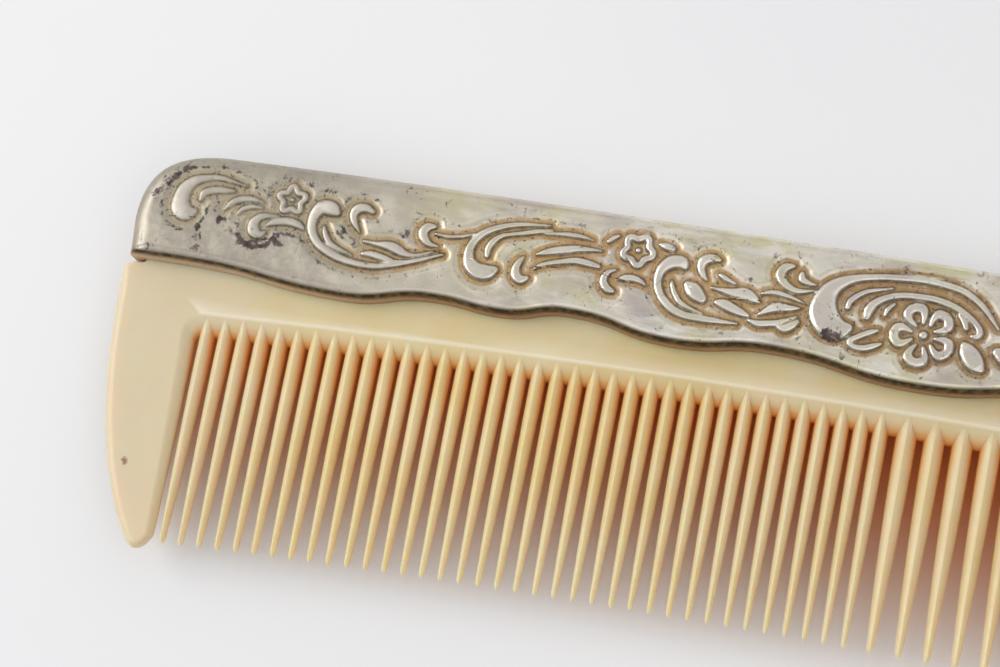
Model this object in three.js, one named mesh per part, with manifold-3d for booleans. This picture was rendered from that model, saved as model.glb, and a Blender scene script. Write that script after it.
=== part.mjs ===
// A dresser comb: one moulded ivory-coloured blade with 64 teeth, held between two die-stamped,
// silver-plated shells that are soldered together along the spine and bedded on pitch cement.
// Millimetres. X runs along the comb, +Y points to the spine (the teeth point to -Y), +Z is up.
// The comb lies on its back shell: z = 0 is that shell's outer face, x = y = 0 is the middle.

import * as THREE from 'three';
import { mergeVertices } from 'three/addons/utils/BufferGeometryUtils.js';
import Module from 'manifold-3d';

const wasm = await Module();
wasm.setup();

// ---- driving dimensions ------------------------------------------------------------------

const BLADE_LENGTH = 181.2;      // over the two shoulders
const COMB_HEIGHT = 46.3;        // spine to guard tips
const MOUNT_THICKNESS = 10.2;    // outer face to outer face
const BLADE_THICKNESS = 3.6;
const SHELL_SKIN = 0.6;
const CLEARANCE = 0.3;           // left between neighbouring pieces

const FINE_PITCH = 2.12;
const FINE_TEETH = 37;
const FINE_WIDTH = 1.74;
const FINE_START = 0.35;          // extra fine spaces between the first coarse and fine teeth
const FINE_TIP = 0.6;
const COARSE_PITCH = 3.04;
const COARSE_TEETH = 27;
const COARSE_WIDTH = 2.3;
const COARSE_TIP = 0.8;

// ---- values that follow from them ----------------------------------------------------------

const MID_Z = MOUNT_THICKNESS / 2;
const FACE_Z = BLADE_THICKNESS / 2;            // blade face above the middle plane
const SPINE_Y = COMB_HEIGHT / 2;
const GUARD_TIP_Y = -COMB_HEIGHT / 2;
const SHOULDER_X = BLADE_LENGTH / 2;
const SHOULDER_Y = 9.15;
const MOUNT_END_X = SHOULDER_X - 0.9;          // the shells stop just short of the shoulders
const TANG_END_X = SHOULDER_X - 2.7;
const TANG_TOP_Y = SPINE_Y - 1.3;
const TOOTH_ROW_X = 80;                        // half length of the row of teeth
const ROOT_Y = 4.0;                            // bottom of the gaps at the middle of the comb
const TIP_Y = -19.75;                          // tooth tips at the middle of the comb
const ROOT_SAG = 2.2;                          // both lines drop about this much at the ends
const TIP_SAG = 2.35;

// The wavy foot of the mount: its crests and hollows from the left end to the middle.
const FOOT_TURNS = [
  [-89.3, 9.25], [-82, 9.33], [-64.5, 8.2], [-53.5, 9.8], [-46.5, 9.35],
  [-38.5, 10.7], [-26.7, 9.25], [-16, 10.35], [0, 8.8],
];

const IVORY = { color: 0xdfcda0, roughness: 0.38, metalness: 0 };
const SILVER = { color: 0xb9b2a6, roughness: 0.34, metalness: 1 };
const PITCH = { color: 0x3a2a1e, roughness: 0.8, metalness: 0 };
const SOLDER = { color: 0x9a968f, roughness: 0.5, metalness: 1 };

// ---- helpers -------------------------------------------------------------------------------

function solidFrom(geometry) {
  const bare = geometry.clone();
  bare.deleteAttribute('normal');
  bare.deleteAttribute('uv');
  const merged = mergeVertices(bare, 1e-4);
  return new wasm.Manifold(new wasm.Mesh({
    numProp: 3,
    vertProperties: new Float32Array(merged.attributes.position.array),
    triVerts: new Uint32Array(merged.index.array),
  }));
}

function meshFrom(solid, name, look) {
  const data = solid.getMesh();
  const geometry = new THREE.BufferGeometry();
  geometry.setAttribute('position', new THREE.BufferAttribute(data.vertProperties, 3));
  geometry.setIndex(new THREE.BufferAttribute(data.triVerts, 1));
  geometry.computeVertexNormals();
  const mesh = new THREE.Mesh(geometry, new THREE.MeshStandardMaterial(look));
  mesh.name = name;
  return mesh;
}

function block(x0, x1, y0, y1, z0, z1) {
  const geometry = new THREE.BoxGeometry(x1 - x0, y1 - y0, z1 - z0);
  geometry.translate((x0 + x1) / 2, (y0 + y1) / 2, (z0 + z1) / 2);
  return solidFrom(geometry);
}

// A closed outline from its left half, which starts and ends on the line x = 0.
function mirroredShape(leftHalf) {
  const rightHalf = leftHalf.slice(1, -1).reverse().map((p) => new THREE.Vector2(-p.x, p.y));
  return new THREE.Shape([...leftHalf, ...rightHalf]);
}

// A slab of the given outline, centred on the middle plane, with all its edges rounded over.
function roundedSlab(shape, thickness, roll, inset) {
  const geometry = new THREE.ExtrudeGeometry(shape, {
    depth: thickness - 2 * roll.height,
    bevelThickness: roll.height,
    bevelSize: roll.width,
    bevelOffset: -roll.width - inset,
    bevelSegments: roll.steps,
    curveSegments: 1,
  });
  geometry.translate(0, 0, MID_Z - thickness / 2 + roll.height);
  return solidFrom(geometry);
}

// ---- the mount -----------------------------------------------------------------------------

const SPINE_ROLL = { height: 2.2, width: 2.2, steps: 3 };
const FOOT_ROLL = { height: 2.4, width: 0.8, steps: 2 };
const FOOT_STEPS = 4;
const CORNER_STEPS = 6;
const BEYOND = 6;                              // how far a trimming outline overshoots

// Spine, end and rounded corner, from the middle of the spine round to the foot of the end.
function rimPoints(out, footY) {
  const rim = new THREE.Path();
  rim.moveTo(0, SPINE_Y + out);
  rim.quadraticCurveTo(-50, SPINE_Y + out, -80, SPINE_Y - 1 + out);
  rim.bezierCurveTo(
    -87.3 - out, SPINE_Y - 1.3 + out,
    -MOUNT_END_X - out, SPINE_Y - 4.3,
    -MOUNT_END_X - out, SPINE_Y - 9.6,
  );
  rim.lineTo(-MOUNT_END_X + 0.4 - out, footY);
  return rim.getPoints(CORNER_STEPS);
}

// The foot as smooth half waves between its crests and hollows.
function footPoints() {
  const foot = new THREE.Path();
  foot.moveTo(...FOOT_TURNS[0]);
  for (let i = 1; i < FOOT_TURNS.length; i += 1) {
    const [x0, y0] = FOOT_TURNS[i - 1];
    const [x1, y1] = FOOT_TURNS[i];
    const half = (x0 + x1) / 2;
    foot.bezierCurveTo(half, y0, half, y1, x1, y1);
  }
  return foot.getPoints(FOOT_STEPS);
}

// The mount's outside, or with an inset its inside: the rim's solid cut by the foot's solid.
function envelope(inset) {
  const thickness = MOUNT_THICKNESS - 2 * inset;
  const middleBelow = new THREE.Vector2(0, -BEYOND);
  const rimShape = mirroredShape([...rimPoints(0, -BEYOND), middleBelow]);
  const above = new THREE.Vector2(0, SPINE_Y + BEYOND);
  const left = FOOT_TURNS[0][0] - BEYOND;
  const footShape = mirroredShape([
    above,
    new THREE.Vector2(left, SPINE_Y + BEYOND),
    new THREE.Vector2(left, FOOT_TURNS[0][1]),
    ...footPoints(),
  ]);
  const rim = roundedSlab(rimShape, thickness, SPINE_ROLL, inset);
  const foot = roundedSlab(footShape, thickness, FOOT_ROLL, inset);
  return rim.intersect(foot);
}

const outside = envelope(0);
const inside = envelope(SHELL_SKIN);
const skin = outside.subtract(inside);

// Where the blade passes out of the mount.
const mouth = block(
  -TANG_END_X - CLEARANCE, TANG_END_X + CLEARANCE, -BEYOND, SPINE_Y - 9,
  MID_Z - FACE_Z - CLEARANCE / 2, MID_Z + FACE_Z + CLEARANCE / 2,
);
const SEAM_HALF = 0.15;                        // half height of the solder line
const SEAM_GAP = 0.1;

function halfSpace(z0, z1) {
  const reach = SHOULDER_X + BEYOND;
  return block(-reach, reach, -SPINE_Y - BEYOND, SPINE_Y + BEYOND, z0, z1);
}

const seamEdge = SEAM_HALF + SEAM_GAP;
const frontShell = skin.subtract(mouth).intersect(halfSpace(MID_Z + seamEdge, MOUNT_THICKNESS + 1));
const backShell = skin.subtract(mouth).intersect(halfSpace(-1, MID_Z - seamEdge));

// The solder line joins the two shells along both ends and the spine.
const seamRing = envelope(SEAM_GAP).subtract(envelope(SHELL_SKIN - SEAM_GAP));
const solderSeam = seamRing
  .intersect(halfSpace(MID_Z - SEAM_HALF, MID_Z + SEAM_HALF))
  .subtract(mouth);

// Cement fills each shell down to the blade.
const bed = envelope(SHELL_SKIN + CLEARANCE);
const bedLevel = FACE_Z + CLEARANCE;
const cementFront = bed.intersect(halfSpace(MID_Z + bedLevel, MOUNT_THICKNESS));
const cementBack = bed.intersect(halfSpace(0, MID_Z - bedLevel));

// ---- the blade -----------------------------------------------------------------------------

const BLADE_EDGE = { height: 0.9, width: 0.5, steps: 2 };
const TOOTH_SIDES = 8;
const TOOTH_DEPTH = 3.2;                       // front crest to back crest, at the root
const ROOT_OVERLAP = 1.6;                      // how far a tooth runs into the spine

function rootLine(x) {
  return ROOT_Y - ROOT_SAG * (x / TOOTH_ROW_X) ** 2;
}

function tipLine(x) {
  return TIP_Y - TIP_SAG * (x / TOOTH_ROW_X) ** 2;
}

// Left half of the blade without its teeth: tang, shoulder, tapering end guard, root line.
function blankPoints() {
  const half = new THREE.Path();
  half.moveTo(0, TANG_TOP_Y);
  half.lineTo(-80, TANG_TOP_Y - 1);
  half.quadraticCurveTo(-TANG_END_X, TANG_TOP_Y - 1.5, -TANG_END_X, TANG_TOP_Y - 8);
  half.lineTo(-TANG_END_X, SHOULDER_Y);
  half.lineTo(-SHOULDER_X + 1.4, SHOULDER_Y);
  half.quadraticCurveTo(-SHOULDER_X, SHOULDER_Y, -SHOULDER_X, SHOULDER_Y - 1.4);
  half.bezierCurveTo(-90.4, -4, -88.6, -14.4, -83.5, GUARD_TIP_Y + 0.9);
  half.quadraticCurveTo(-81.8, GUARD_TIP_Y - 1.13, -80.6, GUARD_TIP_Y + 1.3);
  half.lineTo(-80.9, rootLine(TOOTH_ROW_X) - 0.8);
  half.quadraticCurveTo(-80.9, rootLine(TOOTH_ROW_X), -TOOTH_ROW_X, rootLine(TOOTH_ROW_X));
  half.quadraticCurveTo(-TOOTH_ROW_X / 2, ROOT_Y, 0, ROOT_Y);
  return half.getPoints(8);
}

// One tooth: an eight-sided spindle, deeper than it is wide, that narrows to a round tip.
function tooth(x, width, tipWidth) {
  const tip = tipLine(x);
  const root = rootLine(x);
  const tipRadius = tipWidth / 2;
  const profile = [
    [0, tip],
    [tipRadius * 0.7, tip + tipRadius * 0.3],
    [tipRadius, tip + tipRadius],
    [width * 0.44, THREE.MathUtils.lerp(tip, root, 0.5)],
    [width / 2, root - 1],
    [width / 2, root + ROOT_OVERLAP],
    [0, root + ROOT_OVERLAP],
  ].map(([radius, y]) => new THREE.Vector2(radius, y));
  const geometry = new THREE.LatheGeometry(profile, TOOTH_SIDES);
  geometry.scale(1, 1, TOOTH_DEPTH / width);
  geometry.translate(x, 0, MID_Z);
  return solidFrom(geometry);
}

let blade = roundedSlab(mirroredShape(blankPoints()), BLADE_THICKNESS, BLADE_EDGE, 0);
for (let i = 1; i <= FINE_TEETH; i += 1) {
  blade = blade.add(tooth(-(i + FINE_START) * FINE_PITCH, FINE_WIDTH, FINE_TIP));
}
for (let i = 0; i < COARSE_TEETH; i += 1) {
  blade = blade.add(tooth(i * COARSE_PITCH, COARSE_WIDTH, COARSE_TIP));
}

// The blade keeps its full thickness in the spine and thins evenly towards the tips.
const TIP_THINNING = 0.45;

function thinTowardsTips(geometry) {
  const position = geometry.attributes.position;
  for (let i = 0; i < position.count; i += 1) {
    const reach = (ROOT_Y - position.getY(i)) / (ROOT_Y - GUARD_TIP_Y);
    const scale = 1 - TIP_THINNING * THREE.MathUtils.clamp(reach, 0, 1);
    position.setZ(i, MID_Z + (position.getZ(i) - MID_Z) * scale);
  }
  geometry.computeVertexNormals();
}

const combBlade = meshFrom(blade, 'comb_blade', IVORY);
thinTowardsTips(combBlade.geometry);

// ---- the comb ------------------------------------------------------------------------------

const comb = new THREE.Group();
comb.add(
  combBlade,
  meshFrom(frontShell, 'front_shell', SILVER),
  meshFrom(backShell, 'back_shell', SILVER),
  meshFrom(solderSeam, 'solder_seam', SOLDER),
  meshFrom(cementFront, 'cement_front', PITCH),
  meshFrom(cementBack, 'cement_back', PITCH),
);

export default comb;
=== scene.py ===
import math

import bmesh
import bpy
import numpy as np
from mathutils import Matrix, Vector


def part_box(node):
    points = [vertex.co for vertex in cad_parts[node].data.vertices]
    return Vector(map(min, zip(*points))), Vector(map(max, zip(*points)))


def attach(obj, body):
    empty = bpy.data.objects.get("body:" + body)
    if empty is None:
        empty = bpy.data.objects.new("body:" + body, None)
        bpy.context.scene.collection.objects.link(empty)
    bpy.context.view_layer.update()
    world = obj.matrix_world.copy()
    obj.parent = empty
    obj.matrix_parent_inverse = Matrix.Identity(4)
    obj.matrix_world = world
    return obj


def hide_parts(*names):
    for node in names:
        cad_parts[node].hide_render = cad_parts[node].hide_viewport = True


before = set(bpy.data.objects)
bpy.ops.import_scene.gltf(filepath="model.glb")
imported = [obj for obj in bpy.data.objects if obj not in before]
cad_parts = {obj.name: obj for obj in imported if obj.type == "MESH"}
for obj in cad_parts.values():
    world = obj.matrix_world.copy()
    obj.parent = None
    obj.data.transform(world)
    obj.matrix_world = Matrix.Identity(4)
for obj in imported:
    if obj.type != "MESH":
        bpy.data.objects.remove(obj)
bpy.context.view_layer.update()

# %% [markdown]
# # A silver-mounted dresser comb
# The comb is one moulded ivory-coloured blade with 64 teeth. Two thin silver-plated shells, stamped
# with scrolls, leaves and flowers, close over its back and are soldered together along the spine.
# X runs along the comb, the teeth point to -Y, and the comb lies flat on its back shell at z = 0.
# Every size below is in millimetres and is turned into metres when a mesh is written.

MM = 0.001
blade_low, blade_high = (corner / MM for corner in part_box("comb_blade"))
shell_low, shell_high = (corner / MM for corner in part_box("front_shell"))

TOP_Z = shell_high.z                     # outer face of the front shell
MID_Z = TOP_Z / 2                        # middle plane of the comb
SPINE_Y = shell_high.y
MOUNT_END_X = shell_high.x
SHOULDER_X = blade_high.x
GUARD_TIP_Y = blade_low.y
BLADE_HALF = 1.8                         # half thickness of the blade's flat part
print("comb", round(2 * SHOULDER_X, 1), "x", round(SPINE_Y - GUARD_TIP_Y, 1), "x", round(TOP_Z, 1), "mm")

# %% [markdown]
# ## The camera
# The comb is seen from above and a little from its tooth side, with a long lens, and the camera is
# rolled so that the comb runs down to the right. It could be aimed with a constraint, but a matrix
# built from the three view directions keeps the roll exact.

# %% Camera
AZIMUTH, ELEVATION, ROLL = 40.66, 75.02, -30.08     # degrees
DISTANCE = 311.0                                    # millimetres from the aim point
AIM = Vector((-46.30, 7.99, MID_Z))


def add_camera():
    turn, lift, roll = (math.radians(a) for a in (AZIMUTH, ELEVATION, ROLL))
    back = Vector((math.sin(turn) * math.cos(lift), -math.cos(turn) * math.cos(lift), math.sin(lift)))
    right = (-back).cross(Vector((0, 0, 1))).normalized()
    up = right.cross(-back)
    rolled_right = right * math.cos(roll) + up * math.sin(roll)
    rolled_up = up * math.cos(roll) - right * math.sin(roll)
    data = bpy.data.cameras.new("camera")
    data.sensor_width = 36
    data.lens = 100
    data.clip_start = 0.01
    camera = bpy.data.objects.new("camera", data)
    turned = Matrix((rolled_right, rolled_up, back)).transposed().to_4x4()
    camera.matrix_world = Matrix.Translation((AIM + back * DISTANCE) * MM) @ turned
    bpy.context.scene.collection.objects.link(camera)
    bpy.context.scene.camera = camera
    return camera


camera = add_camera()
print("camera at", [round(v, 3) for v in camera.matrix_world.translation])

# %% [markdown]
# ## Curves
# The outlines are smooth curves through a few turning points. One helper samples a Bezier stretch,
# one spaces points evenly along a line, and one runs a smooth line through given points.

# %% Curve helpers
def bezier(p0, p1, p2, p3, steps):
    t = np.linspace(0, 1, steps + 1)[:, None]
    a, b, c, d = (np.array(p, float) for p in (p0, p1, p2, p3))
    return (1 - t) ** 3 * a + 3 * t * (1 - t) ** 2 * b + 3 * t * t * (1 - t) * c + t ** 3 * d


def quadratic(p0, p1, p2, steps):
    t = np.linspace(0, 1, steps + 1)[:, None]
    a, b, c = (np.array(p, float) for p in (p0, p1, p2))
    return (1 - t) ** 2 * a + 2 * t * (1 - t) * b + t * t * c


def join(*stretches):
    """Stretches that follow each other, with the shared points once."""
    kept = [stretches[0]] + [s[1:] for s in stretches[1:]]
    return np.vstack(kept)


def lengths_along(points):
    steps = np.linalg.norm(np.diff(points[:, :2], axis=0), axis=1)
    return np.concatenate([[0], np.cumsum(steps)])


def respaced(points, count):
    """The same line with count + 1 evenly spaced points."""
    along = lengths_along(points)
    wanted = np.linspace(0, along[-1], count + 1)
    return np.stack([np.interp(wanted, along, points[:, k]) for k in range(points.shape[1])], 1)


def smooth_line(points, per_span=12):
    """A Catmull-Rom line through the points; columns past the first two are carried along."""
    p = np.array(points, float)
    p = np.vstack([2 * p[0] - p[1], p, 2 * p[-1] - p[-2]])
    t = np.linspace(0, 1, per_span, endpoint=False)[:, None]
    spans = []
    for a, b, c, d in zip(p, p[1:], p[2:], p[3:]):
        spans.append(0.5 * (2 * b + (c - a) * t + (2 * a - 5 * b + 4 * c - d) * t ** 2
                            + (3 * b - a - 3 * c + d) * t ** 3))
    return np.vstack(spans + [p[-2:-1]])


def outward_normals(points):
    """Unit normals to the left of the line's direction."""
    run = np.gradient(points, axis=0)
    normal = np.stack([-run[:, 1], run[:, 0]], 1)
    return normal / np.linalg.norm(normal, axis=1)[:, None]


# %% [markdown]
# ## The outline of the mount
# Each shell ends in a long low arch at the spine, rounded corners and a wavy foot that lies across
# the blade. The foot's crests and hollows are the same ones that the design model uses.

# %% Outline of the mount
FOOT_TURNS = [
    (-89.3, 9.25), (-82, 9.33), (-64.5, 8.2), (-53.5, 9.8), (-46.5, 9.35),
    (-38.5, 10.7), (-26.7, 9.25), (-16, 10.35), (0, 8.8),
]
FOOT_END_Y = FOOT_TURNS[0][1]
ARCH_END_X = 80                          # here the arch ends and the rounded corner starts
ARCH_RISE = 1                            # how much the arch rises from there to the middle
CORNER_DROP = 9.6                        # the corner ends this far under the spine's top
foot_half = join(*[
    bezier((x0, y0), ((x0 + x1) / 2, y0), ((x0 + x1) / 2, y1), (x1, y1), 12)
    for (x0, y0), (x1, y1) in zip(FOOT_TURNS, FOOT_TURNS[1:])
])
foot_half = np.vstack([[-MOUNT_END_X - 1, FOOT_END_Y], foot_half])


def foot_y(x):
    return np.interp(-np.abs(x), foot_half[:, 0], foot_half[:, 1])


corner_low = (-MOUNT_END_X, SPINE_Y - CORNER_DROP)
corner_high = (-ARCH_END_X, SPINE_Y - ARCH_RISE)
rim_left = join(
    np.array([[-MOUNT_END_X + 0.4, FOOT_END_Y], corner_low]),
    bezier(corner_low, (-MOUNT_END_X, SPINE_Y - 4.3), (-MOUNT_END_X + 2.4, SPINE_Y - 1.3), corner_high, 40),
    quadratic(corner_high, (-50, SPINE_Y), (0, SPINE_Y), 60),
)
rim = join(rim_left, rim_left[::-1] * [-1, 1])
print("foot waves between", foot_half[:, 1].min(), "and", foot_half[:, 1].max(), "mm")

# %% [markdown]
# ## The stamped ornament
# On the real comb a steel die pushes scrolls, leaves and flowers up from a flat field, and leaves a
# soft groove round each of them. Every motif here is a stroke of a round-ended tool: a list of
# places (x, y) with the half width of the stroke at that place. The left half is drawn once and
# mirrored, and only the flower cluster in the middle is drawn whole.

# %% Ornament strokes
END_SCROLL = [
    [(-82.6, 15.1, .35), (-83.5, 14.7, .85), (-84.3, 15.2, 1.15), (-84.5, 16.4, .95), (-84.2, 17.6, .8),
     (-83.4, 18.5, .62), (-82.0, 19.1, .42), (-80.3, 19.35, .32), (-77.2, 18.9, .1)],
    [(-82.2, 16.5, .25), (-82.0, 17.3, .42), (-81.0, 17.8, .45), (-79.8, 18.0, .38), (-78.6, 18.1, .2)],
    [(-79.2, 15.9, .15), (-78.5, 16.8, .35), (-77.4, 17.4, .4), (-76.0, 17.5, .3), (-75.0, 17.3, .12)],
    [(-77.6, 15.6, .15), (-77.2, 16.2, .28), (-76.2, 16.65, .3), (-75.0, 16.7, .15)],
]
SPRIG = [
    [(-74.1, 14.0, .2), (-74.7, 13.6, .45), (-75.4, 13.9, .7), (-75.6, 14.7, .62), (-75.3, 15.3, .5),
     (-74.6, 15.8, .38), (-72.9, 16.05, .12)],
    [(-74.0, 14.8, .15), (-73.2, 15.35, .42), (-71.8, 15.65, .5), (-70.6, 15.5, .45), (-69.9, 15.15, .25)],
]
SECOND_SCROLL = [
    [(-66.4, 17.5, .4), (-67.1, 17.9, .85), (-68.2, 17.9, .85), (-68.9, 16.9, .68), (-69.0, 15.7, .58),
     (-68.6, 14.6, .55), (-67.7, 13.6, .52), (-66.4, 12.9, .5), (-65.0, 12.45, .48), (-63.2, 12.15, .42),
     (-61.4, 12.15, .38), (-59.6, 12.5, .34), (-56.4, 13.6, .28), (-53.6, 14.75, .15)],
    [(-67.5, 15.85, .12), (-67.35, 15.2, .3), (-66.9, 14.4, .36), (-66.1, 13.75, .34), (-63.8, 13.0, .12)],
    [(-62.6, 13.4, .25), (-61.6, 13.5, .42), (-60.2, 13.3, .42), (-58.8, 13.0, .35), (-57.4, 13.3, .25)],
    [(-62.4, 18.3, .3), (-63.2, 18.6, .5), (-64.1, 18.4, .6), (-64.5, 17.7, .52), (-64.3, 16.9, .42),
     (-63.8, 16.2, .25), (-63.4, 15.7, .1)],
    [(-62.8, 14.85, .15), (-61.2, 14.75, .3), (-59.8, 14.75, .55), (-58.8, 14.5, .6), (-57.8, 14.15, .4),
     (-56.6, 14.2, .22), (-54.2, 15.1, .1)],
    [(-55.1, 17.8, .25), (-55.9, 17.6, .55), (-56.3, 16.9, .62), (-56.0, 16.2, .55), (-55.3, 15.7, .35),
     (-54.4, 15.6, .15)],
    [(-54.9, 17.0, .12), (-53.4, 16.9, .22), (-51.8, 17.2, .2), (-50.4, 17.8, .1)],
]
THIRD_SCROLL = [
    [(-47.5, 14.0, .45), (-48.3, 13.6, .9), (-49.4, 13.6, .98), (-50.4, 14.3, .8), (-50.75, 15.5, .6),
     (-50.5, 16.7, .52), (-49.8, 17.7, .48), (-48.7, 18.5, .42), (-47.2, 19.15, .36), (-45.5, 19.6, .3),
     (-42.3, 20.0, .12)],
    [(-48.7, 15.45, .3), (-48.7, 16.3, .42), (-48.3, 17.2, .42), (-47.5, 17.95, .3), (-46.3, 18.35, .26),
     (-44.8, 18.75, .3), (-43.4, 19.15, .3), (-42.0, 19.5, .15)],
    [(-43.8, 13.7, .3), (-44.5, 13.4, .55), (-45.1, 13.9, .6), (-45.2, 14.7, .5), (-44.9, 15.5, .38),
     (-44.6, 16.0, .15)],
    [(-42.7, 19.0, .12), (-41.4, 19.2, .22), (-40.0, 19.35, .3), (-38.6, 19.35, .26), (-37.3, 19.15, .1)],
    [(-43.2, 16.55, .15), (-42.2, 16.95, .38), (-41.0, 17.35, .5), (-39.8, 17.65, .5), (-38.6, 17.95, .4),
     (-36.1, 18.1, .12)],
    [(-43.2, 14.9, .1), (-42.6, 15.4, .25), (-41.4, 15.85, .3), (-40.2, 16.2, .35), (-38.8, 16.5, .42),
     (-37.4, 16.45, .42), (-36.2, 16.3, .3)],
    [(-34.1, 13.8, .28), (-34.8, 14.0, .5), (-35.3, 14.6, .5), (-35.3, 15.3, .42), (-34.9, 15.9, .3),
     (-34.2, 16.25, .12)],
    [(-33.8, 15.25, .15), (-33.0, 15.55, .4), (-32.0, 15.6, .42), (-31.2, 15.4, .3), (-30.7, 15.05, .1)],
    [(-35.6, 19.3, .25), (-35.1, 19.8, .3), (-34.6, 20.1, .2)],
    [(-29.9, 19.9, .2), (-29.1, 19.75, .45), (-28.4, 19.6, .35)],
]
FOURTH_SCROLL = [
    [(-26.7, 17.8, .35), (-27.2, 18.25, .75), (-28.3, 18.1, .8), (-29.2, 17.2, .65), (-29.45, 16.0, .52),
     (-29.2, 14.9, .5), (-28.5, 13.85, .5), (-27.4, 12.95, .5), (-26.0, 12.5, .48), (-24.4, 12.4, .45),
     (-22.8, 12.4, .4), (-20.0, 12.5, .12)],
    [(-27.9, 16.1, .1), (-27.75, 15.5, .27), (-27.2, 14.5, .32), (-26.3, 13.65, .3), (-24.0, 12.95, .12)],
    [(-26.1, 15.9, .5), (-25.3, 15.3, .95), (-24.3, 14.6, .6)],
    [(-23.1, 19.2, .25), (-23.9, 19.3, .5), (-24.8, 18.9, .62), (-25.0, 18.1, .5), (-24.7, 17.4, .38),
     (-24.2, 16.8, .15)],
    [(-22.8, 17.6, .2), (-22.2, 17.3, .32), (-21.4, 17.0, .2), (-20.8, 16.85, .08)],
    [(-23.5, 16.05, .1), (-22.2, 15.9, .3), (-20.9, 15.85, .55), (-19.8, 15.9, .75), (-18.8, 15.6, .55),
     (-18.1, 15.3, .2)],
    [(-22.6, 14.5, .35), (-21.8, 14.4, .6), (-20.8, 14.1, .6), (-19.8, 13.8, .45), (-19.0, 13.6, .2)],
    [(-17.9, 13.9, .12), (-17.0, 14.55, .4), (-16.2, 15.0, .6), (-15.2, 15.1, .5), (-14.2, 15.2, .3),
     (-13.5, 15.35, .08)],
    [(-18.8, 13.1, .2), (-17.8, 12.9, .4), (-16.6, 13.1, .4), (-15.6, 13.4, .35), (-13.7, 14.4, .08)],
    [(-15.9, 13.2, .2), (-15.0, 12.8, .45), (-14.2, 13.2, .5), (-13.6, 13.8, .3)],
    [(-17.9, 16.3, .15), (-16.8, 16.6, .3), (-15.4, 16.5, .28), (-14.2, 16.25, .2), (-13.3, 16.0, .08)],
    [(-15.0, 19.9, .2), (-15.9, 19.6, .55), (-16.3, 18.8, .62), (-15.9, 18.0, .55), (-15.0, 17.4, .42),
     (-13.9, 17.2, .32), (-12.2, 17.6, .08)],
    [(-14.0, 19.2, .3), (-13.9, 18.6, .45), (-13.2, 18.3, .3), (-12.3, 18.2, .12)],
]
MIDDLE_CLUSTER = [
    [(-8.1, 14.0, .6), (-9.1, 13.7, 1.2), (-10.2, 14.1, 1.6), (-11.0, 15.2, 1.65), (-11.1, 16.6, 1.35),
     (-10.6, 17.9, 1.05), (-9.6, 18.9, .75), (-8.2, 19.6, .5), (-6.4, 20.05, .42), (-4.2, 20.4, .42),
     (-.6, 20.65, .42), (2.8, 20.3, .42), (4.6, 19.6, .4), (6.0, 18.6, .36), (7.8, 16.6, .15)],
    [(-8.5, 16.3, .3), (-8.3, 17.1, .38), (-7.5, 17.9, .34), (-6.4, 18.5, .28), (-4.0, 19.2, .1)],
    [(-6.3, 15.6, .4), (-6.2, 16.4, .6), (-5.6, 17.3, .5), (-4.4, 18.1, .42), (-2.8, 18.6, .4),
     (-1.0, 18.75, .4), (.9, 18.7, .42), (2.7, 18.3, .42), (4.2, 17.6, .4), (5.3, 16.8, .4),
     (5.9, 16.0, .42), (5.7, 15.4, .35), (5.1, 15.35, .2)],
    [(-4.4, 16.1, .15), (-4.2, 16.8, .3), (-3.6, 17.5, .2)],
    [(3.5, 17.4, .2), (4.1, 16.8, .38), (4.4, 16.1, .3)],
    [(-4.9, 14.3, .2), (-5.7, 13.95, .35), (-6.8, 13.3, .36), (-7.7, 12.6, .34), (-7.2, 12.1, .34),
     (-6.1, 12.1, .4), (-5.1, 12.5, .38), (-4.3, 12.9, .2)],
    [(4.5, 14.2, .5), (5.1, 13.4, 1.05), (5.8, 12.6, 1.1), (6.6, 11.9, .5)],
    [(8.1, 14.0, .6), (9.1, 13.7, 1.1), (10.2, 14.1, 1.5), (11, 15.2, 1.55), (11.1, 16.6, 1.3),
     (10.6, 17.9, 1.0), (9.9, 18.7, .6), (9.3, 19.2, .2)],
]

# %% [markdown]
# ## Flowers, and the whole ornament
# The small flowers are one wavy ring with a boss in the middle, and the rosette is five petals of
# two strokes each. Both are worked out from a centre and a turn, because a die cutter would lay
# them out with a compass too.

# %% Flowers and the whole ornament
def ring_of_lobes(centre, lobes, first_degrees, inner, outer, half_width):
    """A closed wavy ring, for a star-shaped flower."""
    turn = np.linspace(0, 2 * math.pi, 12 * lobes + 1)
    swell = 0.5 + 0.5 * np.cos(lobes * (turn - math.radians(first_degrees)))
    radius = inner + (outer - inner) * swell
    x = centre[0] + radius * np.cos(turn)
    y = centre[1] + radius * np.sin(turn)
    return list(zip(x, y, np.full_like(x, half_width)))


def petals(centre, count, first_degrees, places):
    """The same petal strokes turned round a centre. A place is (distance, side step, half width)."""
    strokes = []
    for k in range(count):
        a = math.radians(first_degrees + 360 * k / count)
        for side in (-1, 1):
            strokes.append([(centre[0] + d * math.cos(a) - side * s * math.sin(a),
                             centre[1] + d * math.sin(a) + side * s * math.cos(a), w)
                            for d, s, w in places])
    return strokes


def boss(centre, half_width):
    """A small round knob: a stroke that hardly moves."""
    return [(*centre, half_width), (centre[0] + .05, centre[1], half_width)]


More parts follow.
